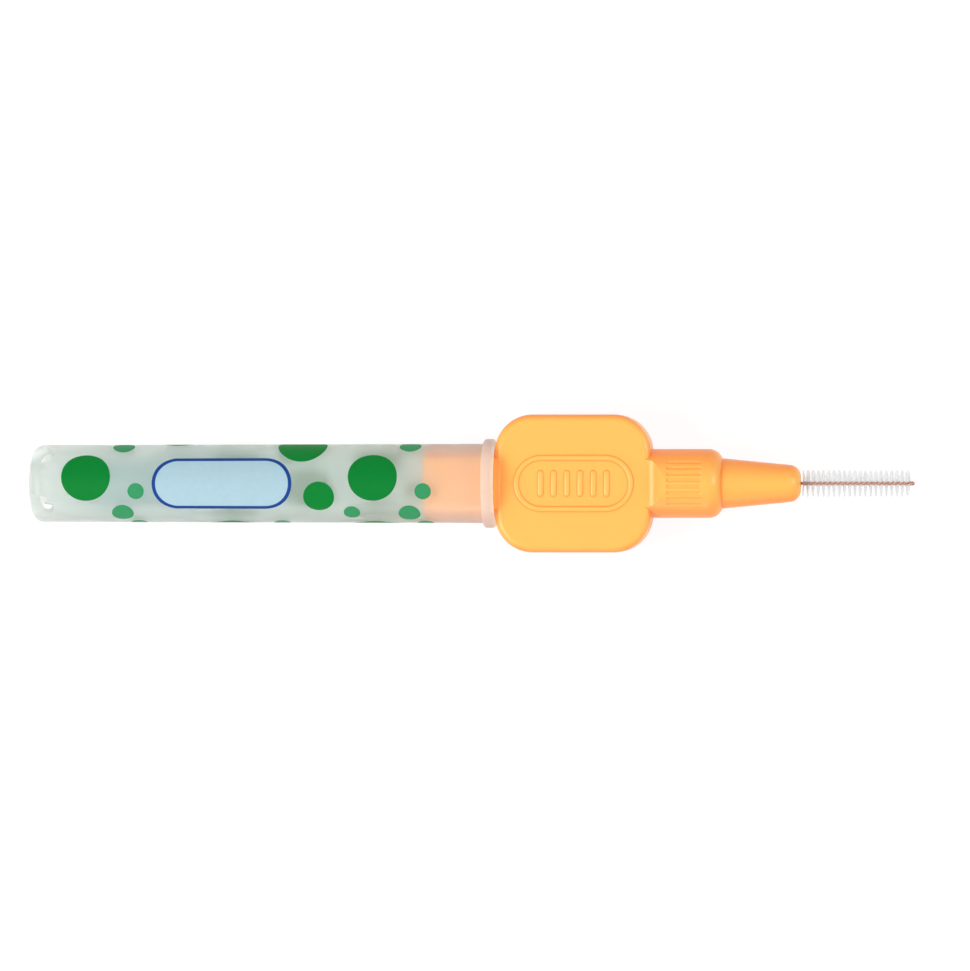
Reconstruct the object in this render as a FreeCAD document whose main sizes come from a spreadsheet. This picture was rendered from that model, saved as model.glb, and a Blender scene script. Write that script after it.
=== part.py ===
import FreeCAD, Part
import math
import os

import Sketcher

Vector = FreeCAD.Vector
Rotation = FreeCAD.Rotation
Placement = FreeCAD.Placement

# Interdental brush with its cap pushed on the back as a longer handle.
# The X axis is the brush axis, pointing at the brush tip. Z stands out of the flat of the grip.
# The origin is on the axis, at the front edge of the grip, where the cap's rim stops on the front collar.
doc = FreeCAD.newDocument("interdental_brush")

# Driving dimensions in millimetres, degrees and counts.
SIZES = {
    # grip tablet
    "grip_length": 17.15,
    "grip_width": 15.1,
    "grip_thickness": 5.6,
    "grip_corner_overlap": 0.41,
    "grip_edge_radius": 0.8,
    # plugs that hold the cap, behind the grip and in front of it
    "plug_radius": 3.78,
    "spigot_length": 7.9,
    "spigot_lead": 0.4,
    "spigot_flat_step": 0.1,
    "collar_length": 7.7,
    "collar_flare": 0.04,
    "shoulder_length": 1.5,
    "ramp_start": 0.13,
    "ramp_length": 1.31,
    "ramp_foot_radius": 1.5,
    # grip lines on the front collar
    "flute_count": 8,
    "flute_arc": 75.0,
    "flute_start": 1.8,
    "flute_length": 4.0,
    "flute_radius": 0.4,
    "flute_depth": 0.07,
    # nose that holds the wire
    "nose_length": 8.6,
    "nose_base_radius": 2.76,
    "nose_tip_radius": 1.92,
    "nose_tip_round": 1.3,
    # twisted wire and filaments
    "wire_gauge": 0.45,
    "wire_embed": 6.5,
    "wire_clearance": 0.02,
    "twist_pitch": 1.146,
    "fold_length": 0.6,
    "filament_diameter": 0.06,
    "filament_clearance": 0.004,
    "filament_sides": 6,
    "filaments_per_row": 9,
    "bristle_rows": 21,
    "bristle_start": 0.2,
    "brush_diameter": 3.0,
    # cap
    "seat_gap": 0.05,
    "fit_clearance": 0.04,
    "cap_length": 51.5,
    "cap_mouth_radius": 4.34,
    "cap_end_radius": 4.22,
    "cap_wall": 0.6,
    "cap_seat_length": 9.0,
    "cap_mouth_lead": 0.2,
    "cap_end_wall": 1.3,
    "cap_end_rise": 0.45,
    "cap_face_radius": 3.3,
    "cap_inner_round": 1.4,
    "bead_radius": 4.87,
    "bead_width": 1.3,
    "bead_round": 0.38,
    "scoop_count": 4,
    "scoop_roll": 38.0,
    "scoop_radius": 1.4,
    "scoop_length": 3.0,
    "scoop_depth": 1.2,
    # how far a cutter runs past the face that it opens
    "overrun": 1.0,
}

sizes = doc.addObject("Spreadsheet::Sheet", "sizes")
for line, (alias, number) in enumerate(SIZES.items(), start=1):
    sizes.set(f"A{line}", alias)
    sizes.set(f"B{line}", str(number))
    sizes.setAlias(f"B{line}", alias)
doc.recompute()


def size(alias):
    """A driving dimension, read from the sheet."""
    return float(sizes.get(alias))


def worked_out(text):
    """The value of an expression on the sheet, as a plain number."""
    return float(sizes.evalExpression(text))


# Places along the axis that several pieces share, as expressions on the sheet.
GRIP_REAR = "-sizes.grip_length"
SPIGOT_REAR = "-(sizes.grip_length + sizes.spigot_length)"
GRIP_FACE = "sizes.grip_thickness / 2"
NOSE_TIP = "(sizes.collar_length + sizes.nose_length)"
CAP_MOUTH = "-(sizes.grip_length + sizes.seat_gap)"
CAP_END = "-(sizes.grip_length + sizes.seat_gap + sizes.cap_length)"


# Sketch and feature helpers
def origin_part(body, role):
    """An origin plane or axis of a body, by its role."""
    return next(item for item in body.Origin.OriginFeatures if item.Role == role)


def new_sketch(body, name, plane, roll=None, rise=None):
    """A sketch on an origin plane, which may be rolled about its own X axis or raised off the plane."""
    sketch = body.newObject("Sketcher::SketchObject", name)
    sketch.AttachmentSupport = (origin_part(body, plane), "")
    sketch.MapMode = "FlatFace"
    if roll is not None:
        sketch.AttachmentOffset = Placement(Vector(), Rotation(Vector(1, 0, 0), worked_out(roll)))
        sketch.setExpression("AttachmentOffset.Rotation.Angle", roll)
    if rise is not None:
        sketch.setExpression("AttachmentOffset.Base.z", rise)
    return sketch


def pin_point(sketch, item, end, place):
    """Hold one end of a sketch line at a place given as two expressions."""
    for kind, text in zip(("DistanceX", "DistanceY"), place):
        number = sketch.addConstraint(Sketcher.Constraint(kind, -1, 1, item, end, worked_out(text)))
        sketch.setExpression(f"Constraints[{number}]", text)


def arc_between(start, finish, radius, centre_on_right):
    """The short arc from start to finish."""
    chord = finish - start
    left = Vector(-chord.y, chord.x, 0).normalize()
    height = math.sqrt(max(radius ** 2 - (chord.Length / 2) ** 2, 0))
    centre = start + chord / 2 + left * (-height if centre_on_right else height)
    first = math.atan2(start.y - centre.y, start.x - centre.x)
    last = math.atan2(finish.y - centre.y, finish.x - centre.x)
    circle = Part.Circle(centre, Vector(0, 0, 1), radius)
    if centre_on_right:
        return Part.ArcOfCircle(circle, last, first)
    return Part.ArcOfCircle(circle, first, last)


def draw_outline(sketch, corners, outer_arcs=None, inner_arcs=None):
    """A closed outline through corners that run clockwise.

    The two tables give a radius for the sides that are round, by number, in the order of the corners:
    outer arcs bulge out of the outline, and inner arcs bulge into it.
    """
    outer_arcs = outer_arcs or {}
    inner_arcs = inner_arcs or {}
    points = [Vector(worked_out(x), worked_out(y), 0) for x, y in corners]
    ends = []
    for number, start in enumerate(points):
        finish = points[(number + 1) % len(points)]
        radius = outer_arcs.get(number) or inner_arcs.get(number)
        if radius:
            outer = number in outer_arcs
            side = sketch.addGeometry(arc_between(start, finish, worked_out(radius), outer))
            rule = sketch.addConstraint(Sketcher.Constraint("Radius", side, worked_out(radius)))
            sketch.setExpression(f"Constraints[{rule}]", radius)
            ends.append((side, 2, 1) if outer else (side, 1, 2))
        else:
            side = sketch.addGeometry(Part.LineSegment(start, finish))
            ends.append((side, 1, 2))
    for number, (side, first, last) in enumerate(ends):
        following = ends[(number + 1) % len(ends)]
        sketch.addConstraint(Sketcher.Constraint("Coincident", side, last, following[0], following[1]))
        pin_point(sketch, side, first, corners[number])


def revolve(body, kind, name, sketch, axis=None):
    """A full turn of a sketch about the brush axis, or about an axis drawn in the sketch."""
    feature = body.newObject(f"PartDesign::{kind}", name)
    feature.Profile = sketch
    feature.ReferenceAxis = axis or (origin_part(body, "X_Axis"), [""])
    feature.Angle = 360
    return feature


def cut_channel(body, name, start, finish, radius, roll):
    """A round-bottomed channel along an axis that lies in a plane rolled about the brush axis.

    It is square at its start and a ball at its finish.
    """
    sketch = new_sketch(body, f"{name}_outline", "XZ_Plane", roll)
    width = worked_out(radius)
    near = Vector(*[worked_out(text) for text in start], 0)
    far = Vector(*[worked_out(text) for text in finish], 0)
    along = (far - near).normalize()
    down = Vector(along.y, -along.x, 0)
    ball = far - along * width
    axis = sketch.addGeometry(Part.LineSegment(near, far), True)
    side = sketch.addGeometry(Part.LineSegment(near, near + down * width))
    floor = sketch.addGeometry(Part.LineSegment(near + down * width, ball + down * width))
    angle = math.atan2(down.y, down.x)
    circle = Part.Circle(ball, Vector(0, 0, 1), width)
    nose = sketch.addGeometry(Part.ArcOfCircle(circle, angle, angle + math.pi / 2))
    back = sketch.addGeometry(Part.LineSegment(far, near))
    pin_point(sketch, axis, 1, start)
    pin_point(sketch, axis, 2, finish)
    rules = [
        ("Coincident", side, 1, axis, 1),
        ("Coincident", side, 2, floor, 1),
        ("Coincident", nose, 2, axis, 2),
        ("Coincident", back, 1, axis, 2),
        ("Coincident", back, 2, axis, 1),
        ("Perpendicular", side, axis),
        ("Tangent", floor, 2, nose, 1),
        ("PointOnObject", nose, 3, axis),
    ]
    for rule in rules:
        sketch.addConstraint(Sketcher.Constraint(*rule))
    number = sketch.addConstraint(Sketcher.Constraint("Radius", nose, width))
    sketch.setExpression(f"Constraints[{number}]", radius)
    doc.recompute()
    return revolve(body, "Groove", name, sketch, (sketch, ["Axis0"]))


def polar_pattern(body, name, feature, count, angle):
    """Copies of a feature about the brush axis."""
    pattern = body.newObject("PartDesign::PolarPattern", name)
    pattern.Originals = [feature]
    pattern.Axis = (origin_part(body, "X_Axis"), [""])
    pattern.setExpression("Angle", angle)
    pattern.setExpression("Occurrences", count)
    body.Tip = pattern
    doc.recompute()
    return pattern


def round_edges(body, name, wanted, radius):
    """Round the edges of the body so far that a test picks."""
    doc.recompute()
    base = body.Tip
    names = [f"Edge{i}" for i, edge in enumerate(base.Shape.Edges, start=1) if wanted(edge)]
    fillet = body.newObject("PartDesign::Fillet", name)
    fillet.Base = (base, names)
    fillet.setExpression("Radius", radius)
    doc.recompute()
    return fillet


def close(first, second):
    """Whether two lengths are the same, to the precision of the model."""
    return abs(first - second) < Part.Precision.confusion() * size("grip_length")


def is_ring(edge, radius, place):
    """Whether an edge is a circle about the brush axis of this radius, at this place along it."""
    if edge.Degenerated or not isinstance(edge.Curve, Part.Circle):
        return False
    curve = edge.Curve
    return close(curve.Radius, worked_out(radius)) and close(curve.Center.x, worked_out(place))


# Handle: one moulding with a spigot, a flat grip, a round collar and a tapered nose.
def build_handle():
    body = doc.addObject("PartDesign::Body", "handle")

    # The round corners of the grip end inside the sides of the collar.
    outline = new_sketch(body, "grip_outline", "XY_Plane")
    half = "sizes.grip_width / 2"
    draw_outline(outline, [
        (GRIP_REAR, f"-{half}"),
        (GRIP_REAR, half),
        ("0", half),
        ("0", f"-{half}"),
    ])
    grip = body.newObject("PartDesign::Pad", "grip")
    grip.Profile = outline
    grip.Midplane = True
    grip.setExpression("Length", "sizes.grip_thickness")
    thickness = size("grip_thickness")
    round_edges(
        body, "grip_corners",
        lambda edge: close(edge.BoundBox.ZLength, thickness),
        "sizes.grip_width / 2 - sizes.plug_radius + sizes.grip_corner_overlap",
    )
    round_edges(
        body, "grip_rim",
        lambda edge: close(edge.BoundBox.ZLength, 0),
        "sizes.grip_edge_radius",
    )

    # The spigot is a round bar with two flats, a little lower than the faces of the grip.
    section = new_sketch(body, "spigot_section", "YZ_Plane", rise=SPIGOT_REAR)
    flat_height = f"({GRIP_FACE} - sizes.spigot_flat_step)"
    flat_half = f"sqrt(sizes.plug_radius ^ 2 - {flat_height} ^ 2)"
    draw_outline(section, [
        (f"-{flat_half}", flat_height),
        (flat_half, flat_height),
        (flat_half, f"-{flat_height}"),
        (f"-{flat_half}", f"-{flat_height}"),
    ], {1: "sizes.plug_radius", 3: "sizes.plug_radius"})
    spigot = body.newObject("PartDesign::Pad", "spigot")
    spigot.Profile = section
    spigot.setExpression("Length", "sizes.spigot_length + 2 * sizes.grip_edge_radius")
    rear = worked_out(SPIGOT_REAR)
    round_edges(
        body, "spigot_end",
        lambda edge: close(edge.BoundBox.XLength, 0) and close(edge.BoundBox.XMin, rear),
        "sizes.spigot_lead",
    )

    # The collar spreads by a hair where it runs into the rounded rim of the grip.
    front = new_sketch(body, "front_outline", "XZ_Plane")
    drop = "(sizes.plug_radius - sizes.nose_base_radius)"
    shoulder = f"(sizes.shoulder_length ^ 2 + {drop} ^ 2) / (2 * {drop})"
    draw_outline(front, [
        ("-sizes.grip_edge_radius", "0"),
        ("-sizes.grip_edge_radius", "sizes.plug_radius + sizes.collar_flare"),
        ("0", "sizes.plug_radius"),
        ("sizes.collar_length - sizes.shoulder_length", "sizes.plug_radius"),
        ("sizes.collar_length", "sizes.nose_base_radius"),
        (NOSE_TIP, "sizes.nose_tip_radius"),
        (NOSE_TIP, "0"),
    ], {3: shoulder})
    revolve(body, "Revolution", "collar_and_nose", front)
    round_edges(
        body, "nose_tip",
        lambda edge: is_ring(edge, "sizes.nose_tip_radius", NOSE_TIP),
        "sizes.nose_tip_round",
    )

    # Each face of the grip runs on into the collar, which is cut back to it by a ramp.
    ramps = new_sketch(body, "ramp_outline", "XZ_Plane")
    behind = "-(sizes.grip_edge_radius + sizes.overrun)"
    above = "sizes.plug_radius + sizes.overrun"
    ramp_top = "sizes.ramp_start + sizes.ramp_length"
    draw_outline(ramps, [
        (behind, GRIP_FACE),
        (behind, above),
        (ramp_top, above),
        (ramp_top, "sizes.plug_radius"),
        ("sizes.ramp_start", GRIP_FACE),
    ])
    ramp = body.newObject("PartDesign::Pocket", "upper_ramp")
    ramp.Profile = ramps
    ramp.Type = "ThroughAll"
    ramp.Midplane = True
    doc.recompute()
    lower = body.newObject("PartDesign::Mirrored", "lower_ramp")
    lower.Originals = [ramp]
    lower.MirrorPlane = (origin_part(body, "XY_Plane"), [""])
    body.Tip = lower
    doc.recompute()

    foot = size("ramp_start")
    face_height = worked_out(GRIP_FACE)
    round_edges(
        body, "ramp_foot",
        lambda edge: (
            close(edge.BoundBox.XLength, 0)
            and close(edge.BoundBox.ZLength, 0)
            and close(edge.BoundBox.XMin, foot)
            and close(abs(edge.BoundBox.ZMin), face_height)
        ),
        "sizes.ramp_foot_radius",
    )

    height = "sizes.plug_radius + sizes.flute_radius - sizes.flute_depth"
    for side, turn in (("upper", 0), ("lower", 180)):
        flute = cut_channel(
            body, f"{side}_flute",
            ("sizes.flute_start", height),
            ("sizes.flute_start + sizes.flute_length", height),
            "sizes.flute_radius",
            f"{turn} - sizes.flute_arc / 2",
        )
        polar_pattern(body, f"{side}_flutes", flute, "sizes.flute_count", "sizes.flute_arc")

    bore = new_sketch(body, "wire_bore_outline", "XY_Plane")
    bore_radius = "sizes.wire_gauge / 2 + sizes.wire_clearance"
    bottom = f"{NOSE_TIP} - sizes.wire_embed - sizes.wire_clearance"
    draw_outline(bore, [
        (bottom, "0"),
        (bottom, bore_radius),
        (f"{NOSE_TIP} + sizes.overrun", bore_radius),
        (f"{NOSE_TIP} + sizes.overrun", "0"),
    ])
    revolve(body, "Groove", "wire_bore", bore)
    return body


# Cap: a deep tube with a bead round its mouth and a domed end with scoops round its rim.
def build_cap():
    body = doc.addObject("PartDesign::Body", "cap")
    bore = "sizes.plug_radius + sizes.fit_clearance"
    inner_end = f"{CAP_END} + sizes.cap_end_wall"
    inner_radius = "sizes.cap_end_radius - sizes.cap_wall"
    face_edge = f"{CAP_END} + sizes.cap_end_rise"
    lean = "2 * atan(sizes.cap_end_rise / sizes.cap_face_radius)"
    dome = "(sizes.cap_end_rise ^ 2 + sizes.cap_face_radius ^ 2) / (2 * sizes.cap_end_rise)"
    rim = f"(sizes.cap_end_radius - sizes.cap_face_radius) / (1 - sin({lean}))"
    bead_rear = f"{CAP_MOUTH} - sizes.bead_width"
    tube = new_sketch(body, "tube_outline", "XY_Plane")
    draw_outline(tube, [
        (CAP_END, "0"),
        (face_edge, "sizes.cap_face_radius"),
        (f"{face_edge} + {rim} * cos({lean})", "sizes.cap_end_radius"),
        (bead_rear, "sizes.cap_mouth_radius"),
        (bead_rear, "sizes.bead_radius - sizes.bead_round"),
        (f"{bead_rear} + sizes.bead_round", "sizes.bead_radius"),
        (f"{CAP_MOUTH} - sizes.bead_round", "sizes.bead_radius"),
        (CAP_MOUTH, "sizes.bead_radius - sizes.bead_round"),
        (CAP_MOUTH, f"{bore} + sizes.cap_mouth_lead"),
        (f"{CAP_MOUTH} - sizes.cap_mouth_lead", bore),
        (f"{CAP_MOUTH} - sizes.cap_seat_length", bore),
        (f"{inner_end} + sizes.cap_inner_round", inner_radius),
        (inner_end, f"{inner_radius} - sizes.cap_inner_round"),
        (inner_end, "0"),
    ], {0: dome, 1: rim, 4: "sizes.bead_round", 6: "sizes.bead_round"}, {11: "sizes.cap_inner_round"})
    revolve(body, "Revolution", "tube", tube)

    # A scoop is deepest at the end of the cap and runs out on the side of the tube.
    scoop_top = "sizes.cap_end_radius + sizes.scoop_radius"
    scoop = cut_channel(
        body, "scoop",
        (f"{CAP_END} - sizes.scoop_radius", f"{scoop_top} - 2 * sizes.scoop_depth"),
        (f"{CAP_END} + sizes.scoop_length", "sizes.cap_end_radius + sizes.scoop_radius / 2"),
        "sizes.scoop_radius",
        "sizes.scoop_roll",
    )
    polar_pattern(body, "scoops", scoop, "sizes.scoop_count", "360")
    return body


# Core wire: one wire folded at the tip, its two legs twisted together to the left.
STRAND_RADIUS = "(sizes.wire_gauge - sizes.filament_diameter - sizes.filament_clearance) / 4"
STRAND_OFFSET = f"{STRAND_RADIUS} + (sizes.filament_diameter + sizes.filament_clearance) / 2"
BRISTLE_START = f"{NOSE_TIP} + sizes.bristle_start"
FOLD = f"({BRISTLE_START} + sizes.bristle_rows * sizes.twist_pitch / 2)"


def twist(distance):
    """The angle through which the legs have turned at a distance behind the untwisted fold."""
    full_rate = 2 * math.pi / size("twist_pitch")
    easing = size("fold_length")
    if distance < easing:
        return full_rate * distance ** 2 / (2 * easing)
    return full_rate * (distance - easing / 2)


def twist_rate(distance):
    """The turn per millimetre at a distance behind the fold."""
    full_rate = 2 * math.pi / size("twist_pitch")
    return full_rate * min(distance / size("fold_length"), 1)


def leg_point(distance, side):
    """A point on the middle line of one leg, and its direction towards the fold."""
    offset = worked_out(STRAND_OFFSET) * side
    angle = twist(distance)
    point = Vector(worked_out(FOLD) - distance, offset * math.cos(angle), offset * math.sin(angle))
    swing = -offset * twist_rate(distance)
    along = Vector(1, -swing * math.sin(angle), swing * math.cos(angle))
    return point, along.normalize()


def arc_leaving(start, along, finish):
    """The arc that leaves start in a direction and ends at finish."""
    chord = finish - start
    across = along - chord * (along.dot(chord) / chord.dot(chord))
    angle = along.getAngle(chord)
    if angle < Part.Precision.angular():
        return Part.LineSegment(start, finish).toShape()
    bulge = across.normalize() * (chord.Length / 2 * math.tan(angle / 2))
    return Part.Arc(start, start + chord / 2 + bulge, finish).toShape()


def biarc(start, along, finish, ahead):
    """Two arcs that join two points with their directions."""
    chord = finish - start
    both = along + ahead
    slack = 2 * (1 - along.dot(ahead))
    reach = chord.dot(both)
    if slack < Part.Precision.confusion():
        arm = chord.dot(chord) / (2 * reach)
    else:
        arm = (math.sqrt(reach ** 2 + slack * chord.dot(chord)) - reach) / slack
    joint = (start + along * arm + finish - ahead * arm) / 2
    back = arc_leaving(finish, ahead * -1, joint)
    return [arc_leaving(start, along, joint), back]


def leg_arcs(leg):
    """The arcs of one leg, from its points and directions."""
    arcs = []
    for (start, along), (finish, ahead) in zip(leg, leg[1:]):
        arcs += biarc(start, along, finish, ahead)
    return arcs


def build_core_wire():
    length = worked_out(f"{FOLD} - {NOSE_TIP} + sizes.wire_embed")
    steps = math.ceil(4 * length / size("twist_pitch"))
    stations = [length * number / steps for number in range(steps + 1)]
    one_leg = [leg_point(distance, 1) for distance in reversed(stations)]
    other_leg = [leg_point(distance, -1) for distance in stations]
    other_leg = [(point, along * -1) for point, along in other_leg]
    fold_end = Vector(worked_out(FOLD) + worked_out(STRAND_OFFSET), 0, 0)
    fold = Part.Arc(one_leg[-1][0], fold_end, other_leg[0][0]).toShape()
    path = Part.Wire(Part.sortEdges(leg_arcs(one_leg) + [fold] + leg_arcs(other_leg))[0])
    ring = Part.Wire(Part.makeCircle(worked_out(STRAND_RADIUS), *one_leg[0]))
    tube = path.makePipeShell([ring], True, False)
    expected = math.pi * worked_out(STRAND_RADIUS) ** 2 * path.Length
    print(f"core wire: {len(path.Edges)} arcs, volume share {tube.Volume / expected:.4f}")
    wire = doc.addObject("Part::Feature", "core_wire")
    wire.Shape = tube
    wire.Placement = Placement()
    return wire


# Filaments: straight nylon hairs pinched between the legs, a row for each half turn of the wire.
def build_filament_row(row):
    rows_done = row * size("twist_pitch") / 2
    spacing = size("twist_pitch") / 2 / size("filaments_per_row")
    hairs = []
    for number in range(int(size("filaments_per_row"))):
        place = worked_out(BRISTLE_START) + rows_done + (number + 0.5) * spacing
        angle = twist(worked_out(FOLD) - place) + math.pi / 2
        along = Vector(0, math.cos(angle), math.sin(angle))
        hair = doc.addObject("Part::Prism", f"hair_{row + 1:02d}_{number + 1}")
        hair.setExpression("Polygon", "sizes.filament_sides")
        hair.setExpression("Circumradius", "sizes.filament_diameter / 2")
        hair.setExpression("Height", "sizes.brush_diameter")
        start = Vector(place, 0, 0) - along * (size("brush_diameter") / 2)
        hair.Placement = Placement(start, Rotation(Vector(0, 0, 1), along))
        hairs.append(hair)
    tuft = doc.addObject("Part::Compound", f"filament_row_{row + 1:02d}")
    tuft.Links = hairs
    return tuft


pieces = [build_handle(), build_cap(), build_core_wire()]
pieces += [build_filament_row(row) for row in range(int(size("bristle_rows")))]
doc.recompute()

for item in doc.Objects:
    faults = [state for state in item.State if state in ("Invalid", "Error")]
    if faults:
        raise RuntimeError(f"{item.Label} failed: {faults}")
for piece in pieces:
    if piece.Shape.isNull() or not piece.Shape.isValid():
        raise RuntimeError(f"{piece.Label} has no sound shape")

os.makedirs("parts", exist_ok=True)
for piece in pieces:
    piece.Shape.exportStep(f"parts/{piece.Label}.step")
    print(f"{piece.Label}: {len(piece.Shape.Solids)} solids, {piece.Shape.Volume:.3f} mm3")
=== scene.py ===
# %% [markdown]
# An interdental brush, dressed for a studio picture.
#
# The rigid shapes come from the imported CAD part: the moulded handle, the tubular cap and
# the twisted wire. They are loaded as a fixed frame, and this lesson adds what CAD leaves out:
# plastics, inks and metal, the print on the cap, the raised marks on the grip, and a brush
# with many fine hairs. The shapes could be modelled again here, but loading them keeps
# every fit and the sliding joint of the cap as they were designed.

# %% Load the CAD frame
import math
import random

import bmesh
import bpy
from mathutils import Matrix, Vector


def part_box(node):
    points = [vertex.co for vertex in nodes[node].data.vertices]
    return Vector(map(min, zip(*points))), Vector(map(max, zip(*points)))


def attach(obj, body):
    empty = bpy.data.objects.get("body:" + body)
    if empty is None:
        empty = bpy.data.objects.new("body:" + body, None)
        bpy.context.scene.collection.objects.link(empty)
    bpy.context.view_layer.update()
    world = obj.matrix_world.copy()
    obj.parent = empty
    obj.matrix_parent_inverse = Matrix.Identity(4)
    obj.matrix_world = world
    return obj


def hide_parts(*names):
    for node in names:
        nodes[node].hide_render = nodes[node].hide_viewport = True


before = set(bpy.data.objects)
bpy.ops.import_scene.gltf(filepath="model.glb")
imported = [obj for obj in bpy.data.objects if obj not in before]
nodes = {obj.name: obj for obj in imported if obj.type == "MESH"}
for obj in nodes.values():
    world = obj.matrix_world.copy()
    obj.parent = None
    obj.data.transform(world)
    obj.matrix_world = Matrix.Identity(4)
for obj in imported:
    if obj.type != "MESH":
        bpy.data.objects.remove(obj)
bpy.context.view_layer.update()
print("CAD nodes:", len(nodes))

# %% [markdown]
# Every size below is a real one in millimetres, or is measured on the frame, so that the
# dressing follows the part. The frame has +X along the brush towards its tip and +Z out of
# the flat face of the grip. The box of a piece gives its ends, and a ray that is dropped on
# a piece finds the height of its skin. Measuring is safer than copying numbers by hand.

# %% Measure the frame
MM = 0.001
GRIP_SPOT = (-8 * MM, 5 * MM)

cap_low, cap_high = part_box("cap")
wire_low, wire_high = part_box("core_wire")
row_names = sorted(name for name in nodes if name.startswith("filament_row_"))
row_boxes = [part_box(name) for name in row_names]
row_pitch = (row_boxes[-1][0].x - row_boxes[0][0].x) / (len(row_boxes) - 1)
print("rows:", len(row_boxes), "pitch in mm:", round(row_pitch / MM, 3))


def height_above(node, x, y):
    """How high the top of a CAD node stands over a point of the ground plan."""
    found, spot, _, _ = nodes[node].ray_cast(Vector((x, y, 1)), Vector((0, 0, -1)))
    if not found:
        raise ValueError(f"{node} has nothing at {x}, {y}")
    return spot.z


bpy.context.view_layer.update()
grip_face = height_above("handle", *GRIP_SPOT)
print("grip face height in mm:", round(grip_face / MM, 3))

# %% [markdown]
# Colours are picked as sRGB hex values, the way a colour card gives them, and shaders want
# linear light, so one function translates. A second function adds a shader node together with
# its settings and links, which keeps each material as a short list of what it is made of.
# The same could be wired by hand in the shader editor, but in code every value is easy to find.

# %% Helpers for materials
# A Mix node has several inputs of the same name, so its colour sockets go by their numbers.
MIX_SHARE, MIX_FIRST, MIX_SECOND, MIX_RESULT = 0, 6, 7, 2


def linear(code):
    """The linear red, green and blue of an sRGB hex value, with an alpha of 1."""
    shares = [int(code[place:place + 2], 16) / 255 for place in (0, 2, 4)]
    return (*[s / 12.92 if s <= 0.04045 else ((s + 0.055) / 1.055) ** 2.4 for s in shares], 1)


def add_node(tree, kind, inputs=None, **settings):
    """Adds a node: settings are its own properties, inputs are values or sockets to link."""
    made = tree.nodes.new(kind)
    for name, value in settings.items():
        setattr(made, name, value)
    for name, value in (inputs or {}).items():
        if isinstance(value, bpy.types.NodeSocket):
            tree.links.new(value, made.inputs[name])
        else:
            made.inputs[name].default_value = value
    return made


def new_material(name):
    """An empty material with its output node and its coordinates."""
    material = bpy.data.materials.new(name)
    material.use_nodes = True
    tree = material.node_tree
    tree.nodes.clear()
    output = add_node(tree, "ShaderNodeOutputMaterial")
    coordinates = add_node(tree, "ShaderNodeTexCoord").outputs
    return material, tree, output, coordinates


WHITE = linear("FFFFFF")
print("white in linear light:", WHITE)

# %% [markdown]
# The handle is polypropylene, moulded in a pastel orange. Such plastic lets light in and out
# again. Its colour here carries painted shade: faces that lie flat get a pale, sunny orange,
# and where the skin turns away to a side or sits in a nook, as by the bead of the cap, a deeper
# orange is painted in. It stands in for the shade there and for light that has come a longer
# way through the plastic, which scattering below the skin shows too little of on so small a
# thing. So the painted colour is led by the sideways part of the surface normal and by how
# much open air there is around a point.

# %% Colour of the pastel orange, with painted shade on sides and in nooks
SIDE_SHADE_POWER = 1.6
NOOK_SHADE_REACH = 4 * MM
CLOUD = 6 * MM


def orange_with_painted_shade(tree, coordinates):
    """Painted shade: deep orange on sides and in nooks, pale orange on flat faces,
    faint clouds over both.
    """
    normal = add_node(tree, "ShaderNodeSeparateXYZ", {0: coordinates["Normal"]})
    # Painted shade on the sides: the more the skin faces sideways, the deeper the orange.
    sideways = add_node(tree, "ShaderNodeMath", {
        0: normal.outputs["Y"], 1: normal.outputs["Y"],
    }, operation="MULTIPLY")
    upright = add_node(tree, "ShaderNodeMath", {
        0: 1.0, 1: sideways.outputs[0],
    }, operation="SUBTRACT")
    clear_of_side_shade = add_node(tree, "ShaderNodeMath", {
        0: upright.outputs[0], 1: SIDE_SHADE_POWER,
    }, operation="POWER")
    # Painted shade in nooks: ambient occlusion deepens the orange where little open air is near.
    nook_occlusion = add_node(tree, "ShaderNodeAmbientOcclusion", {"Distance": NOOK_SHADE_REACH}, samples=16)
    clear_of_nook_shade = add_node(tree, "ShaderNodeMapRange", {
        "Value": nook_occlusion.outputs["AO"], "From Min": 0.8, "From Max": 0.97, "To Min": 0.2,
    })
    pale = add_node(tree, "ShaderNodeMath", {
        0: clear_of_side_shade.outputs[0], 1: clear_of_nook_shade.outputs["Result"],
    }, operation="MULTIPLY")
    body = add_node(tree, "ShaderNodeMix", {
        MIX_SHARE: pale.outputs[0], MIX_FIRST: linear("FF8C30"), MIX_SECOND: linear("FFBA55"),
    }, data_type="RGBA")
    cloud = add_node(tree, "ShaderNodeTexNoise", {
        "Vector": coordinates["Object"], "Scale": 1 / CLOUD, "Detail": 2.0,
    })
    share = add_node(tree, "ShaderNodeMapRange", {"Value": cloud.outputs["Fac"], "To Max": 0.15})
    tint = add_node(tree, "ShaderNodeMix", {
        MIX_SHARE: share.outputs["Result"],
        MIX_FIRST: body.outputs[MIX_RESULT], MIX_SECOND: linear("FFC968"),
    }, data_type="RGBA")
    return tint.outputs[MIX_RESULT]


print("nooks deepen within mm:", round(NOOK_SHADE_REACH / MM, 1))

# %% [markdown]
# The skin of the handle is satin: a soft highlight that the fine grain of the mould breaks up.
# One noise drives both the roughness and a faint bump, as the same grain causes both.
# A share of the light scatters below the skin, furthest in red, which warms the edges.

# %% Pastel orange polypropylene
POLYPROPYLENE_IOR = 1.49
HANDLE_GLOW = 0.3
# The grain of a real mould is about a tenth of this. Finer than a pixel, it is drawn coarser.
GRAIN = 0.25 * MM
GRAIN_DEPTH = 0.02 * MM


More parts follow.
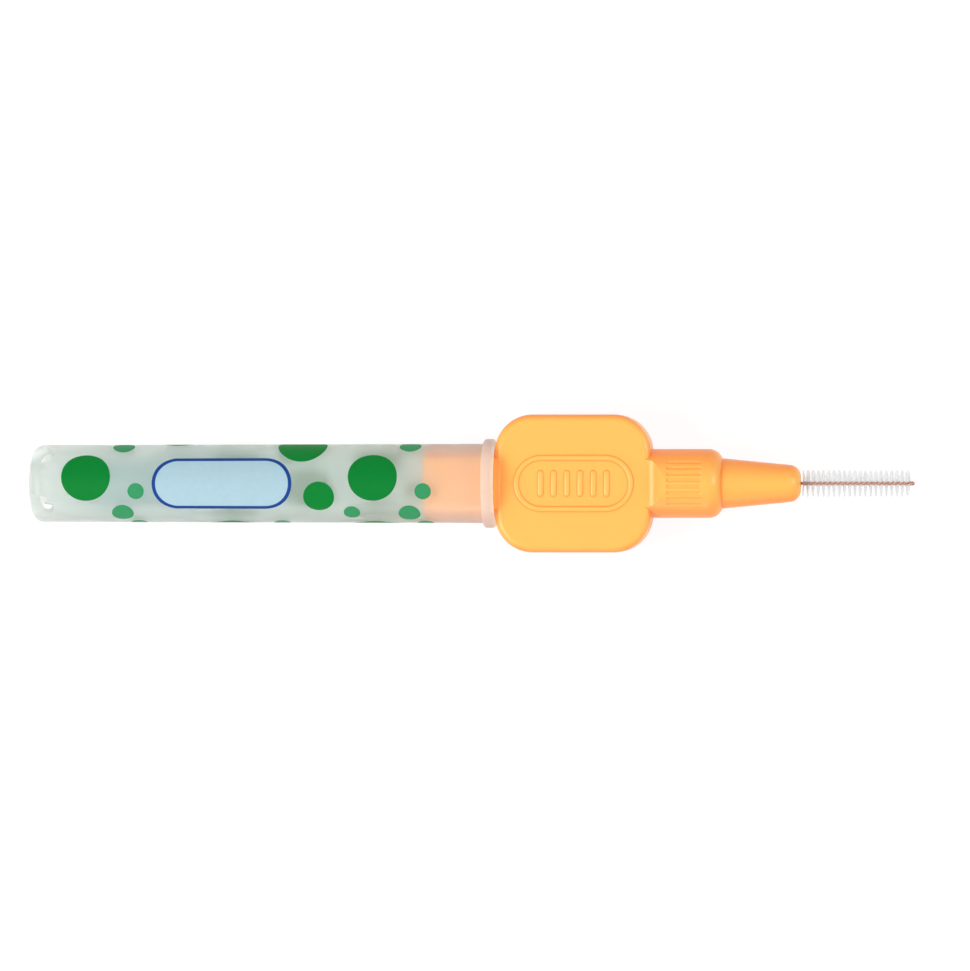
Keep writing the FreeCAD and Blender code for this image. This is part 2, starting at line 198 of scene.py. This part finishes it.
def pastel_polypropylene(name, glow):
    """To the eye: a warm, pale plastic with a satin skin. Glow is its share of scattering."""
    material, tree, output, coordinates = new_material(name)
    grain = add_node(tree, "ShaderNodeTexNoise", {
        "Vector": coordinates["Object"], "Scale": 1 / GRAIN, "Detail": 3.0,
    })
    satin = add_node(tree, "ShaderNodeMapRange", {
        "Value": grain.outputs["Fac"], "To Min": 0.28, "To Max": 0.36,
    })
    bump = add_node(tree, "ShaderNodeBump", {
        "Height": grain.outputs["Fac"], "Strength": 0.03, "Distance": GRAIN_DEPTH,
    })
    shader = add_node(tree, "ShaderNodeBsdfPrincipled", {
        # The base colour carries painted shade on sides and in nooks.
        "Base Color": orange_with_painted_shade(tree, coordinates),
        "Roughness": satin.outputs["Result"],
        "IOR": POLYPROPYLENE_IOR,
        "Subsurface Weight": glow,
        "Subsurface Radius": (1.0, 0.4, 0.12),
        "Subsurface Scale": 1.5 * MM,
        "Normal": bump.outputs["Normal"],
    })
    tree.links.new(shader.outputs["BSDF"], output.inputs["Surface"])
    return material


orange = pastel_polypropylene("moulded_polypropylene_orange", HANDLE_GLOW)
nodes["handle"].material_slots[0].material = orange
print("handle:", orange.name)

# %% [markdown]
# The cap is polypropylene too, left undyed. It is translucent rather than clear: light goes
# through it and is scattered on the way, so things close behind the wall stay readable and
# things further off turn to a haze. Rough refraction gives the haze, and a share of plain
# scattering gives the milk. Lamps shine straight through so thin a wall. Renderers find that
# hard, so to shadow rays the wall is simply a tinted, transparent sheet.

# %% Scattering and lamp light in thin plastic


def milky_scatter(tree):
    """Plastic that throws a part of the light back and lets the larger part on, diffused."""
    milk = add_node(tree, "ShaderNodeBsdfPrincipled", {
        "Base Color": linear("E0ECEB"),
        "Roughness": 0.3,
        "IOR": POLYPROPYLENE_IOR,
        "Subsurface Weight": 1.0,
        "Subsurface Radius": (1.0, 1.0, 1.0),
        "Subsurface Scale": 3 * MM,
    })
    through = add_node(tree, "ShaderNodeBsdfTranslucent", {"Color": linear("F5EEE9")})
    return add_node(tree, "ShaderNodeMixShader", {
        0: 0.65, 1: milk.outputs[0], 2: through.outputs[0],
    })


def let_lamps_through(tree, surface, tint):
    """The surface as it is to the eye, and a tinted transparent sheet to the light of lamps."""
    passed = add_node(tree, "ShaderNodeBsdfTransparent", {"Color": tint})
    path = add_node(tree, "ShaderNodeLightPath")
    return add_node(tree, "ShaderNodeMixShader", {
        0: path.outputs["Is Shadow Ray"], 1: surface.outputs[0], 2: passed.outputs[0],
    })


print("refractive index of the cap:", POLYPROPYLENE_IOR)

# %% [markdown]
# The bead round the mouth of the cap is thicker than the wall, so it is milkier and passes less
# light. Where the wall is seen at a slant, the light has a longer way through it too, so the
# edges of the tube are milky. A Layer Weight node reads the slant, and the place along the tube
# tells the bead. A solid with its inside filled by a volume would do this by itself,
# but it renders slowly and with much noise.

# %% Translucent polypropylene
HAZE = 9 * MM
BEAD_WIDTH = 1.3 * MM
BEAD_BLEND = 0.15 * MM

bead_start = cap_high.x - BEAD_WIDTH


def natural_polypropylene():
    """To the eye: a frosted, milky tube, cool and white, with a whiter bead and whiter edges."""
    material, tree, output, coordinates = new_material("moulded_polypropylene_natural")
    haze = add_node(tree, "ShaderNodeTexNoise", {
        "Vector": coordinates["Object"], "Scale": 1 / HAZE, "Detail": 2.0,
    })
    frost = add_node(tree, "ShaderNodeMapRange", {
        "Value": haze.outputs["Fac"], "To Min": 0.28, "To Max": 0.36,
    })
    clear = add_node(tree, "ShaderNodeBsdfPrincipled", {
        "Base Color": linear("E5EFEC"),
        "Roughness": frost.outputs["Result"],
        "IOR": POLYPROPYLENE_IOR,
        "Transmission Weight": 1.0,
    })
    scatter = milky_scatter(tree)
    along = add_node(tree, "ShaderNodeSeparateXYZ", {0: coordinates["Object"]})
    thick = add_node(tree, "ShaderNodeMapRange", {
        "Value": along.outputs["X"],
        "From Min": bead_start - BEAD_BLEND, "From Max": bead_start,
    })
    milky = add_node(tree, "ShaderNodeMapRange", {
        "Value": thick.outputs["Result"], "To Min": 0.3, "To Max": 0.7,
    })
    wall = add_node(tree, "ShaderNodeMixShader", {
        0: milky.outputs["Result"], 1: clear.outputs[0], 2: scatter.outputs[0],
    })
    slant = add_node(tree, "ShaderNodeLayerWeight", {"Blend": 0.5})
    pale = add_node(tree, "ShaderNodeMapRange", {
        "Value": slant.outputs["Facing"], "From Min": 0.35, "To Max": 0.85,
    })
    rim = add_node(tree, "ShaderNodeMixShader", {
        0: pale.outputs["Result"], 1: wall.outputs[0], 2: scatter.outputs[0],
    })
    passed = add_node(tree, "ShaderNodeMix", {
        MIX_SHARE: thick.outputs["Result"],
        MIX_FIRST: linear("E2EAE6"), MIX_SECOND: linear("ACB6B1"),
    }, data_type="RGBA")
    shader = let_lamps_through(tree, rim, passed.outputs[MIX_RESULT])
    tree.links.new(shader.outputs[0], output.inputs["Surface"])
    return material


natural = natural_polypropylene()
nodes["cap"].material_slots[0].material = natural
print("cap:", natural.name)

# %% [markdown]
# The core of the brush is fine steel wire with a copper-coloured plastic coat. The coat dulls
# the metal, so the material is metallic only in part, and a small mottle keeps the colour from
# looking painted on. The twist itself is in the CAD shape.

# %% Coated wire
# The mottle of a thin coat is finer than a pixel, so it is drawn coarser.
COAT_MOTTLE = 0.15 * MM


def coated_wire():
    """To the eye: a copper-brown wire that glints less than bare metal."""
    material, tree, output, coordinates = new_material("coated_steel_wire_copper")
    mottle = add_node(tree, "ShaderNodeTexNoise", {
        "Vector": coordinates["Object"], "Scale": 1 / COAT_MOTTLE, "Detail": 2.0,
    })
    tint = add_node(tree, "ShaderNodeMix", {
        MIX_SHARE: mottle.outputs["Fac"],
        MIX_FIRST: linear("A5634A"), MIX_SECOND: linear("C38D73"),
    }, data_type="RGBA")
    shader = add_node(tree, "ShaderNodeBsdfPrincipled", {
        "Base Color": tint.outputs[MIX_RESULT],
        "Metallic": 0.35,
        "Roughness": 0.35,
    })
    tree.links.new(shader.outputs["BSDF"], output.inputs["Surface"])
    return material


copper = coated_wire()
nodes["core_wire"].material_slots[0].material = copper
print("wire:", copper.name)

# %% [markdown]
# The hairs are drawn nylon, clear to white. Each is thinner than a pixel, so what the eye gets
# is a haze of many. The material is part skin, part light that comes through, and more than
# half clear. Hairs that point at the eye would pile up to a grey knot over the wire,
# so a hair turns quite clear where its skin is seen at a slant.

# %% Nylon filament


def drawn_nylon():
    """To the eye: a bright white haze in which single hairs just show."""
    material, tree, output, coordinates = new_material("drawn_nylon_white")
    streak = add_node(tree, "ShaderNodeTexNoise", {
        "Vector": coordinates["Object"], "Scale": 1 / row_pitch, "Detail": 1.0,
    })
    tint = add_node(tree, "ShaderNodeMix", {
        MIX_SHARE: streak.outputs["Fac"],
        MIX_FIRST: linear("E4E4E6"), MIX_SECOND: linear("EDEDED"),
    }, data_type="RGBA")
    skin = add_node(tree, "ShaderNodeBsdfPrincipled", {
        "Base Color": tint.outputs[MIX_RESULT],
        "Roughness": 0.35,
        "IOR": 1.53,
    })
    through = add_node(tree, "ShaderNodeBsdfTranslucent", {"Color": tint.outputs[MIX_RESULT]})
    white = add_node(tree, "ShaderNodeMixShader", {
        0: 0.6, 1: skin.outputs[0], 2: through.outputs[0],
    })
    clear = add_node(tree, "ShaderNodeBsdfTransparent", {"Color": WHITE})
    slant = add_node(tree, "ShaderNodeLayerWeight", {"Blend": 0.5})
    clearness = add_node(tree, "ShaderNodeMapRange", {
        "Value": slant.outputs["Facing"], "From Min": 0.4, "From Max": 0.85, "To Min": 0.55,
    })
    shader = add_node(tree, "ShaderNodeMixShader", {
        0: clearness.outputs["Result"], 1: white.outputs[0], 2: clear.outputs[0],
    })
    tree.links.new(shader.outputs[0], output.inputs["Surface"])
    return material


nylon = drawn_nylon()
print("filaments:", nylon.name)

# %% [markdown]
# The pieces below are built with bmesh, which holds a mesh while it is being shaped.
# Every one ends in the same way: points that meet are merged, the normals are turned outwards,
# and the mesh becomes an object that rides on a body of the CAD part, so that it moves with
# that body when the joint is posed. The objects stay at the origin, with their shape in place.

# %% Helper that turns a bmesh into a piece
MERGE = 0.0002 * MM


def finish_piece(form, name, materials, body):
    """Makes an object of a bmesh that is already in place, and lets it ride on a CAD body."""
    bmesh.ops.remove_doubles(form, verts=form.verts, dist=MERGE)
    bmesh.ops.recalc_face_normals(form, faces=form.faces)
    mesh = bpy.data.meshes.new(name)
    form.to_mesh(mesh)
    form.free()
    for material in materials:
        mesh.materials.append(material)
    piece = bpy.data.objects.new(name, mesh)
    bpy.context.scene.collection.objects.link(piece)
    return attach(piece, body)


print("points merge within mm:", MERGE / MM)

# %% [markdown]
# On the real brush the wire pinches the hairs in one flat sheet, and the twist winds that sheet
# into a double helix. So a hair's direction follows from how far it is from the fold at the tip.
# A particle system could scatter the hairs, but rods along this rule keep the rows apart
# as the real twist does. Small seeded differences in place, length and lean make them look cut
# and bent by hand. The tufts take the place of the plain CAD rows, one for one.

# %% Filament tufts
HAIRS_PER_ROW = 48
HAIR_DIAMETER = 0.036 * MM
HAIR_SIDES = 6
HAIR_JITTER = 0.3
SHORTEST_SHARE = 0.94
HAIR_TILT = math.radians(3)
HAIR_SEED = 7
FOLD_LENGTH = 0.6 * MM

draw = random.Random(HAIR_SEED)
wire_gauge = wire_high.y - wire_low.y
fold = wire_high.x - wire_gauge / 2
brush_radius = max(high.z for _, high in row_boxes)


def hair_angle(x):
    """A hair's turn about the axis: it eases in behind the fold, then grows steadily."""
    behind = fold - x
    if behind < FOLD_LENGTH:
        eased = behind ** 2 / (2 * FOLD_LENGTH)
    else:
        eased = behind - FOLD_LENGTH / 2
    return math.pi * eased / row_pitch


def filament_tuft(start, name):
    """The hairs of one half turn of the twist, as six-sided rods."""
    form = bmesh.new()
    for number in range(HAIRS_PER_ROW):
        jitter = draw.uniform(-HAIR_JITTER, HAIR_JITTER)
        x = start + (number + 0.5 + jitter) * row_pitch / HAIRS_PER_ROW
        length = 2 * brush_radius * draw.uniform(SHORTEST_SHARE, 1.0)
        hair = bmesh.ops.create_cone(
            form, cap_ends=True, segments=HAIR_SIDES,
            radius1=HAIR_DIAMETER / 2, radius2=HAIR_DIAMETER / 2, depth=length,
        )
        lean = Matrix.Rotation(draw.uniform(-HAIR_TILT, HAIR_TILT), 4, "Y")
        turn = Matrix.Rotation(hair_angle(x) + draw.uniform(-HAIR_TILT, HAIR_TILT), 4, "X")
        place = Matrix.Translation((x, 0, 0))
        bmesh.ops.transform(form, matrix=place @ turn @ lean, verts=hair["verts"])
    return finish_piece(form, name, [nylon], "handle")


for row_name, (low, high) in zip(row_names, row_boxes):
    middle = (low.x + high.x) / 2
    tuft = filament_tuft(middle - row_pitch / 2, row_name.replace("row", "tuft"))
    # A shadow ray gives up after a few clear hairs, which would turn the brush grey.
    tuft.visible_shadow = False
    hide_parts(row_name)
print("hairs:", HAIRS_PER_ROW * len(row_names))

# %% [markdown]
# The cap carries a print in screen ink: flat, strong colours with a slight mottle, where the
# screen has left more or less ink. The film is thin enough to let some light through, so the
# print on the far wall shows through the tube as a coloured haze. An image texture could hold
# the print, but thin pieces of mesh stay sharp from any distance and need no unwrapping.

# %% Screen ink
INK_MOTTLE = 0.6 * MM


def screen_ink(name, thin, thick):
    """To the eye: an even, nearly matt colour between two close shades."""
    material, tree, output, coordinates = new_material(name)
    mottle = add_node(tree, "ShaderNodeTexNoise", {
        "Vector": coordinates["Object"], "Scale": 1 / INK_MOTTLE, "Detail": 3.0,
    })
    tint = add_node(tree, "ShaderNodeMix", {
        MIX_SHARE: mottle.outputs["Fac"], MIX_FIRST: linear(thin), MIX_SECOND: linear(thick),
    }, data_type="RGBA")
    film = add_node(tree, "ShaderNodeBsdfPrincipled", {
        "Base Color": tint.outputs[MIX_RESULT],
        "Roughness": 0.45,
        "IOR": 1.48,
        "Specular IOR Level": 0.15,
    })
    through = add_node(tree, "ShaderNodeBsdfTranslucent", {"Color": tint.outputs[MIX_RESULT]})
    ink = add_node(tree, "ShaderNodeMixShader", {
        0: 0.25, 1: film.outputs[0], 2: through.outputs[0],
    })
    paled = add_node(tree, "ShaderNodeMix", {
        MIX_SHARE: 0.5, MIX_FIRST: tint.outputs[MIX_RESULT], MIX_SECOND: WHITE,
    }, data_type="RGBA")
    shader = let_lamps_through(tree, ink, paled.outputs[MIX_RESULT])
    tree.links.new(shader.outputs[0], output.inputs["Surface"])
    return material


deep_green = screen_ink("screen_ink_deep_green", "008C37", "008532")
light_green = screen_ink("screen_ink_light_green", "42A46E", "389A63")
border_blue = screen_ink("screen_ink_blue", "1D4E9E", "1A4794")
pale_blue = screen_ink("screen_ink_pale_blue", "BAD5DF", "B0CCD7")
print("inks:", deep_green.name, light_green.name, border_blue.name, pale_blue.name)

# %% [markdown]
# Ink lies on the plastic as a film of a few hundredths of a millimetre. Each motif is drawn
# flat, cut into narrow strips along the tube so that it can bend, given its thickness,
# and then rolled round the tube. A Shrinkwrap modifier could lay it on as well,
# but rolling keeps true lengths, the way a printing machine does. The film is sunk in by half,
# so that no gap shows below it, and its rim stays sharp while its face is smooth.

# %% Rolling a film round the tube
FILM = 0.03 * MM
FILM_SINK = 0.015 * MM
STRIP = 0.3 * MM
RIM_ANGLE = math.radians(40)
MOUTH_INSET = 3 * MM
END_INSET = 5 * MM

mouth_end = cap_high.x - MOUTH_INSET
closed_end = cap_low.x + END_INSET
mouth_radius = height_above("cap", mouth_end, 0)
closed_radius = height_above("cap", closed_end, 0)
print("tube radius in mm:", round(closed_radius / MM, 3), "to", round(mouth_radius / MM, 3))


def tube_radius(x):
    """The radius of the tapered tube at a place along it."""
    share = (x - closed_end) / (mouth_end - closed_end)
    return closed_radius + share * (mouth_radius - closed_radius)


def roll_film(form, x, turn):
    """Cuts a flat motif into strips, thickens it and rolls it on at x, turned from the top."""
    reach = max(vert.co.y for vert in form.verts)
    cuts = math.floor(reach / STRIP)
    for number in range(-cuts, cuts + 1):
        bmesh.ops.bisect_plane(
            form, geom=form.verts[:] + form.edges[:] + form.faces[:],
            plane_co=(0, number * STRIP, 0), plane_no=(0, 1, 0),
        )
    raised = bmesh.ops.extrude_face_region(form, geom=form.faces[:])["geom"]
    top = [item for item in raised if isinstance(item, bmesh.types.BMVert)]
    bmesh.ops.translate(form, vec=(0, 0, FILM), verts=top)
    for vert in form.verts:
        place = x + vert.co.x
        radius = tube_radius(place) - FILM_SINK + vert.co.z
        angle = turn + vert.co.y / tube_radius(x)
        vert.co = (place, radius * math.sin(angle), radius * math.cos(angle))
    form.normal_update()
    for edge in form.edges:
        edge.smooth = edge.calc_face_angle(0) < RIM_ANGLE
    for face in form.faces:
        face.smooth = True


# %% [markdown]
# The pattern is plain. A blank label with round ends lies on the front of the tube and one on
# its back, pale blue with a darker border. A label is a circle whose two halves are moved
# apart, which leaves straight sides between them, and an inset of that face gives the border.

# %% Plain labels
LABEL_LENGTH = 15.4 * MM
LABEL_WIDTH = 6.0 * MM
LABEL_BORDER = 0.38 * MM
LABELS = ((-47.0 * MM, 0), (-56.0 * MM, math.pi))
ARC_STEPS = 50

label_straight = (LABEL_LENGTH - LABEL_WIDTH) / 2
printed = []


def flat_label():
    """A label that lies flat, with its border as a second material."""
    form = bmesh.new()
    bmesh.ops.create_circle(form, cap_ends=True, radius=LABEL_WIDTH / 2, segments=ARC_STEPS)
    for vert in form.verts:
        vert.co.x += math.copysign(label_straight, vert.co.x)
    form.normal_update()
    rim = bmesh.ops.inset_region(
        form, faces=form.faces[:], thickness=LABEL_BORDER,
        use_boundary=True, use_even_offset=True,
    )
    for face in rim["faces"]:
        face.material_index = 1
    return form


for number, (x, turn) in enumerate(LABELS, start=1):
    label = flat_label()
    roll_film(label, x, turn)
    finish_piece(label, f"cap_label_{number}", [pale_blue, border_blue], "cap")
    printed.append((x, turn, label_straight, LABEL_WIDTH / 2))
print("labels printed:", len(printed))

# %% [markdown]
# Around the labels are dots in two greens and four sizes. They stand in columns along the tube,
# each column turned on from the last, so that the rows slant as they do on a printed wrap.
# A dot is only printed where it leaves a gap to everything before it, measured on the unrolled
# tube. Placing by this rule gives an even spread without drawing the layout by hand.

# %% Dots
DOT_GAP = 0.45 * MM
DOT_STEP = 7.9 * MM
DOT_FIRST = -62.0 * MM
DOT_COLUMNS = 5
FIRST_TURN = math.radians(10)
# Each kind has a name, a diameter, an ink, a shift in steps and a number of dots around.
DOT_KINDS = (
    ("large", 5.4 * MM, deep_green, 0.0, 3),
    ("small", 2.4 * MM, light_green, 0.5, 3),
    ("medium", 3.4 * MM, deep_green, 0.25, 3),
    ("tiny", 1.8 * MM, light_green, 0.7, 5),
)


def is_free(x, turn, radius):
    """Whether a dot leaves a gap to everything printed so far."""
    for other_x, other_turn, straight, other_radius in printed:
        along = max(abs(x - other_x) - straight, 0)
        around = math.remainder(turn - other_turn, 2 * math.pi) * tube_radius(x)
        if math.hypot(along, around) < radius + other_radius + DOT_GAP:
            return False
    return True


for kind, diameter, ink, shift, around in DOT_KINDS:
    for place in range(DOT_COLUMNS * around):
        column, step = divmod(place, around)
        x = DOT_FIRST + (column + shift) * DOT_STEP
        turn = FIRST_TURN + (step + column / 2 + shift) * 2 * math.pi / around
        if is_free(x, turn, diameter / 2):
            dot = bmesh.new()
            bmesh.ops.create_circle(dot, cap_ends=True, radius=diameter / 2, segments=ARC_STEPS)
            roll_film(dot, x, turn)
            finish_piece(dot, f"cap_dot_{kind}_{place + 1:02d}", [ink], "cap")
            printed.append((x, turn, 0, diameter / 2))
print("motifs printed:", len(printed))

# %% [markdown]
# The face of the grip has raised marks for the thumb: a low frame with short ribs in it, all
# with soft edges. The mould has them as shallow grooves. The frame is an oval section that is
# spun round one end, drawn along, spun round the other end and drawn back. A bevelled curve
# would give a like shape, but the spin leaves even faces and a closed ring.

# %% Frame on the grip
MARK_HEIGHT = 0.12 * MM
FRAME_LENGTH = 13.2 * MM
FRAME_WIDTH = 6.2 * MM
FRAME_BAND = 0.6 * MM
SECTION_SIDES = 16
SPIN_STEPS = 24
# Turns a section that lies flat upright, across the path of the frame.
UPRIGHT = Matrix.Rotation(math.pi / 2, 4, "Y")


def grip_frame():
    """A closed ring with an oval section, half of it above the face of the grip."""
    form = bmesh.new()
    section = bmesh.ops.create_circle(form, segments=SECTION_SIDES, radius=1)["verts"]
    oval = Matrix.Diagonal((1, FRAME_BAND / 2, MARK_HEIGHT, 1))
    bmesh.ops.transform(form, matrix=oval @ UPRIGHT, verts=section)
    straight = (FRAME_LENGTH - FRAME_WIDTH) / 2
    reach = (FRAME_WIDTH - FRAME_BAND) / 2
    bmesh.ops.translate(form, vec=(straight, -reach, 0), verts=section)
    ring = form.verts[:] + form.edges[:]
    for side in (1, -1):
        spun = bmesh.ops.spin(
            form, geom=ring, cent=(side * straight, 0, 0), axis=(0, 0, 1), dvec=(0, 0, 0),
            angle=math.pi, steps=SPIN_STEPS, use_merge=False, use_duplicate=False,
        )
        edges = [item for item in spun["geom_last"] if isinstance(item, bmesh.types.BMEdge)]
        drawn = bmesh.ops.extrude_edge_only(form, edges=edges)["geom"]
        moved = [item for item in drawn if isinstance(item, bmesh.types.BMVert)]
        bmesh.ops.translate(form, vec=(-2 * side * straight, 0, 0), verts=moved)
        ring = moved + [
            item for item in drawn if isinstance(item, bmesh.types.BMEdge)
            and all(vert in moved for vert in item.verts)
        ]
    return form


print("frame in mm:", round(FRAME_LENGTH / MM, 2), "by", round(FRAME_WIDTH / MM, 2))

# %% [markdown]
# Each rib is a ball whose halves are moved apart to a capsule, laid across the grip and pressed
# low. Half of it is sunk in the face, so it meets the plastic all round. The marks have the same
# orange as the handle, but no light scattered below the skin: in forms this thin it
# turned them olive.

# %% Ribs, and both marks on the grip
MARK_MIDDLE = -8.45 * MM
MARK_GLOW = 0
RIB_COUNT = 6
RIB_STEP = 1.45 * MM
RIB_WIDTH = 0.66 * MM
RIB_LENGTH = 2.9 * MM
RIB_SIDES = 16
RIB_RINGS = 9
# Lays an upright capsule down across the grip.
ACROSS = Matrix.Rotation(math.pi / 2, 4, "X")


def grip_ribs():
    """A row of low capsules across the grip."""
    form = bmesh.new()
    low = Matrix.Diagonal((1, 1, 2 * MARK_HEIGHT / RIB_WIDTH, 1))
    for number in range(RIB_COUNT):
        rib = bmesh.ops.create_uvsphere(
            form, u_segments=RIB_SIDES, v_segments=RIB_RINGS, radius=RIB_WIDTH / 2,
        )["verts"]
        for vert in rib:
            vert.co.z += math.copysign((RIB_LENGTH - RIB_WIDTH) / 2, vert.co.z)
        along = (number - (RIB_COUNT - 1) / 2) * RIB_STEP
        place = Matrix.Translation((along, 0, 0))
        bmesh.ops.transform(form, matrix=place @ low @ ACROSS, verts=rib)
    return form


# The marks carry the same painted shade on sides and in nooks as the handle.
mark_orange = pastel_polypropylene("moulded_polypropylene_orange_marks", MARK_GLOW)
for form, name in ((grip_frame(), "grip_mark_frame"), (grip_ribs(), "grip_mark_ribs")):
    bmesh.ops.translate(form, vec=(MARK_MIDDLE, 0, grip_face), verts=form.verts)
    for face in form.faces:
        face.smooth = True
    mark = finish_piece(form, name, [mark_orange], "handle")
    print(name, len(mark.data.polygons), "faces")

# %% [markdown]
# The stage is a pale floor that the part lies on. Product pictures often have a ground that is
# white all over, with just a hint of shadow. A plain white floor would turn grey away from the
# lamps. So to the eye the floor glows nearly white and adds the lamps' light on a dark grey,
# where shadows show faintly, and for the light that it throws back it is an ordinary matt floor.

# %% Floor
FLOOR_SIZE = 3.0


def seen_rays(tree):
    """1 for rays that reach the eye, straight, mirrored or through plastic, and 0 for others."""
    path = add_node(tree, "ShaderNodeLightPath")
    mirrored = add_node(tree, "ShaderNodeMath", {
        0: path.outputs["Is Glossy Ray"], 1: path.outputs["Is Transmission Ray"],
    }, operation="MAXIMUM")
    seen = add_node(tree, "ShaderNodeMath", {
        0: path.outputs["Is Camera Ray"], 1: mirrored.outputs[0],
    }, operation="MAXIMUM")
    return seen.outputs[0]


def pale_floor():
    """To the eye: a white ground with a faint shadow."""
    material, tree, output, _ = new_material("pale_studio_floor")
    matt = add_node(tree, "ShaderNodeBsdfDiffuse", {"Color": linear("F0F0EE")})
    shadow = add_node(tree, "ShaderNodeBsdfDiffuse", {"Color": linear("626262")})
    glow = add_node(tree, "ShaderNodeEmission", {"Color": WHITE, "Strength": 0.9})
    lit = add_node(tree, "ShaderNodeAddShader", {0: shadow.outputs[0], 1: glow.outputs[0]})
    both = add_node(tree, "ShaderNodeMixShader", {
        0: seen_rays(tree), 1: matt.outputs[0], 2: lit.outputs[0],
    })
    tree.links.new(both.outputs[0], output.inputs["Surface"])
    return material


form = bmesh.new()
bmesh.ops.create_grid(form, x_segments=1, y_segments=1, size=FLOOR_SIZE / 2)
bmesh.ops.translate(form, vec=(0, 0, cap_low.z), verts=form.verts)
floor_mesh = bpy.data.meshes.new("floor")
form.to_mesh(floor_mesh)
form.free()
floor_mesh.materials.append(pale_floor())
floor = bpy.data.objects.new("floor", floor_mesh)
bpy.context.scene.collection.objects.link(floor)
print("floor height in mm:", round(cap_low.z / MM, 3))

# %% [markdown]
# A white room gives even light from all sides, and four softboxes give the part its form: one
# high on the left as the main light, two weaker ones low on the left and in front, and one
# on the right for the nose and the brush. The room lights the part with a part of its strength
# only, but is seen as full white, so that glossy and clear plastic mirror a white studio.

# %% World and lamps
SKY_LIGHT = 0.6
AIM = Vector((-10 * MM, 0, 0))
# Each softbox has a name, a place and the side of its square in metres, and a power in watts.
SOFTBOXES = (
    ("left_softbox", Vector((-0.26, -0.05, 0.31)), 0.16, 0.8),
    ("lower_left_softbox", Vector((-0.25, -0.25, 0.25)), 0.12, 0.18),
    ("low_front_softbox", Vector((-0.03, -0.36, 0.08)), 0.12, 0.14),
    ("right_softbox", Vector((0.31, 0.08, 0.22)), 0.16, 0.42),
)

scene = bpy.context.scene
scene.view_settings.view_transform = "Standard"
world = bpy.data.worlds.new("studio")
scene.world = world
world.use_nodes = True
sky = world.node_tree
background = sky.nodes["Background"]
background.inputs["Color"].default_value = WHITE
level = add_node(sky, "ShaderNodeMapRange", {
    "Value": seen_rays(sky), "To Min": SKY_LIGHT, "To Max": 1.0,
})
sky.links.new(level.outputs["Result"], background.inputs["Strength"])

for name, place, side, power in SOFTBOXES:
    lamp = bpy.data.lights.new(name, "AREA")
    lamp.shape = "SQUARE"
    lamp.size = side
    lamp.energy = power
    holder = bpy.data.objects.new(name, lamp)
    holder.location = place
    holder.rotation_euler = (AIM - place).to_track_quat("-Z", "Y").to_euler()
    scene.collection.objects.link(holder)
print("softboxes:", len(SOFTBOXES))

# %% [markdown]
# The camera looks down on the part from far off through a long lens, so that hardly any
# perspective shows, and leans a few degrees towards the end of the brush. Its distance follows
# from the scale of the picture, and its place from the pixel on which the part's origin falls.
# That way the render can be laid over the photo and compared.

# %% Camera
PIXELS_PER_MM = 9.118
PICTURE_WIDTH = 970
PICTURE_HEIGHT = 971
ORIGIN_PIXEL = (652.1, 483.45)
LEAN = math.radians(5)
LENS = 400
FAR_LIMIT = 10

camera_data = bpy.data.cameras.new("camera")
camera_data.lens = LENS
camera_data.clip_end = FAR_LIMIT
camera = bpy.data.objects.new("camera", camera_data)
view_height = PICTURE_HEIGHT / PIXELS_PER_MM * MM
distance = view_height * LENS / camera_data.sensor_width
middle_x = (PICTURE_WIDTH / 2 - ORIGIN_PIXEL[0]) / PIXELS_PER_MM / math.cos(LEAN) * MM
middle_y = (ORIGIN_PIXEL[1] - PICTURE_HEIGHT / 2) / PIXELS_PER_MM * MM
camera.location = (middle_x + distance * math.sin(LEAN), middle_y, distance * math.cos(LEAN))
camera.rotation_euler = (0, LEAN, 0)
scene.collection.objects.link(camera)
scene.camera = camera
print("camera distance in m:", round(distance, 3))
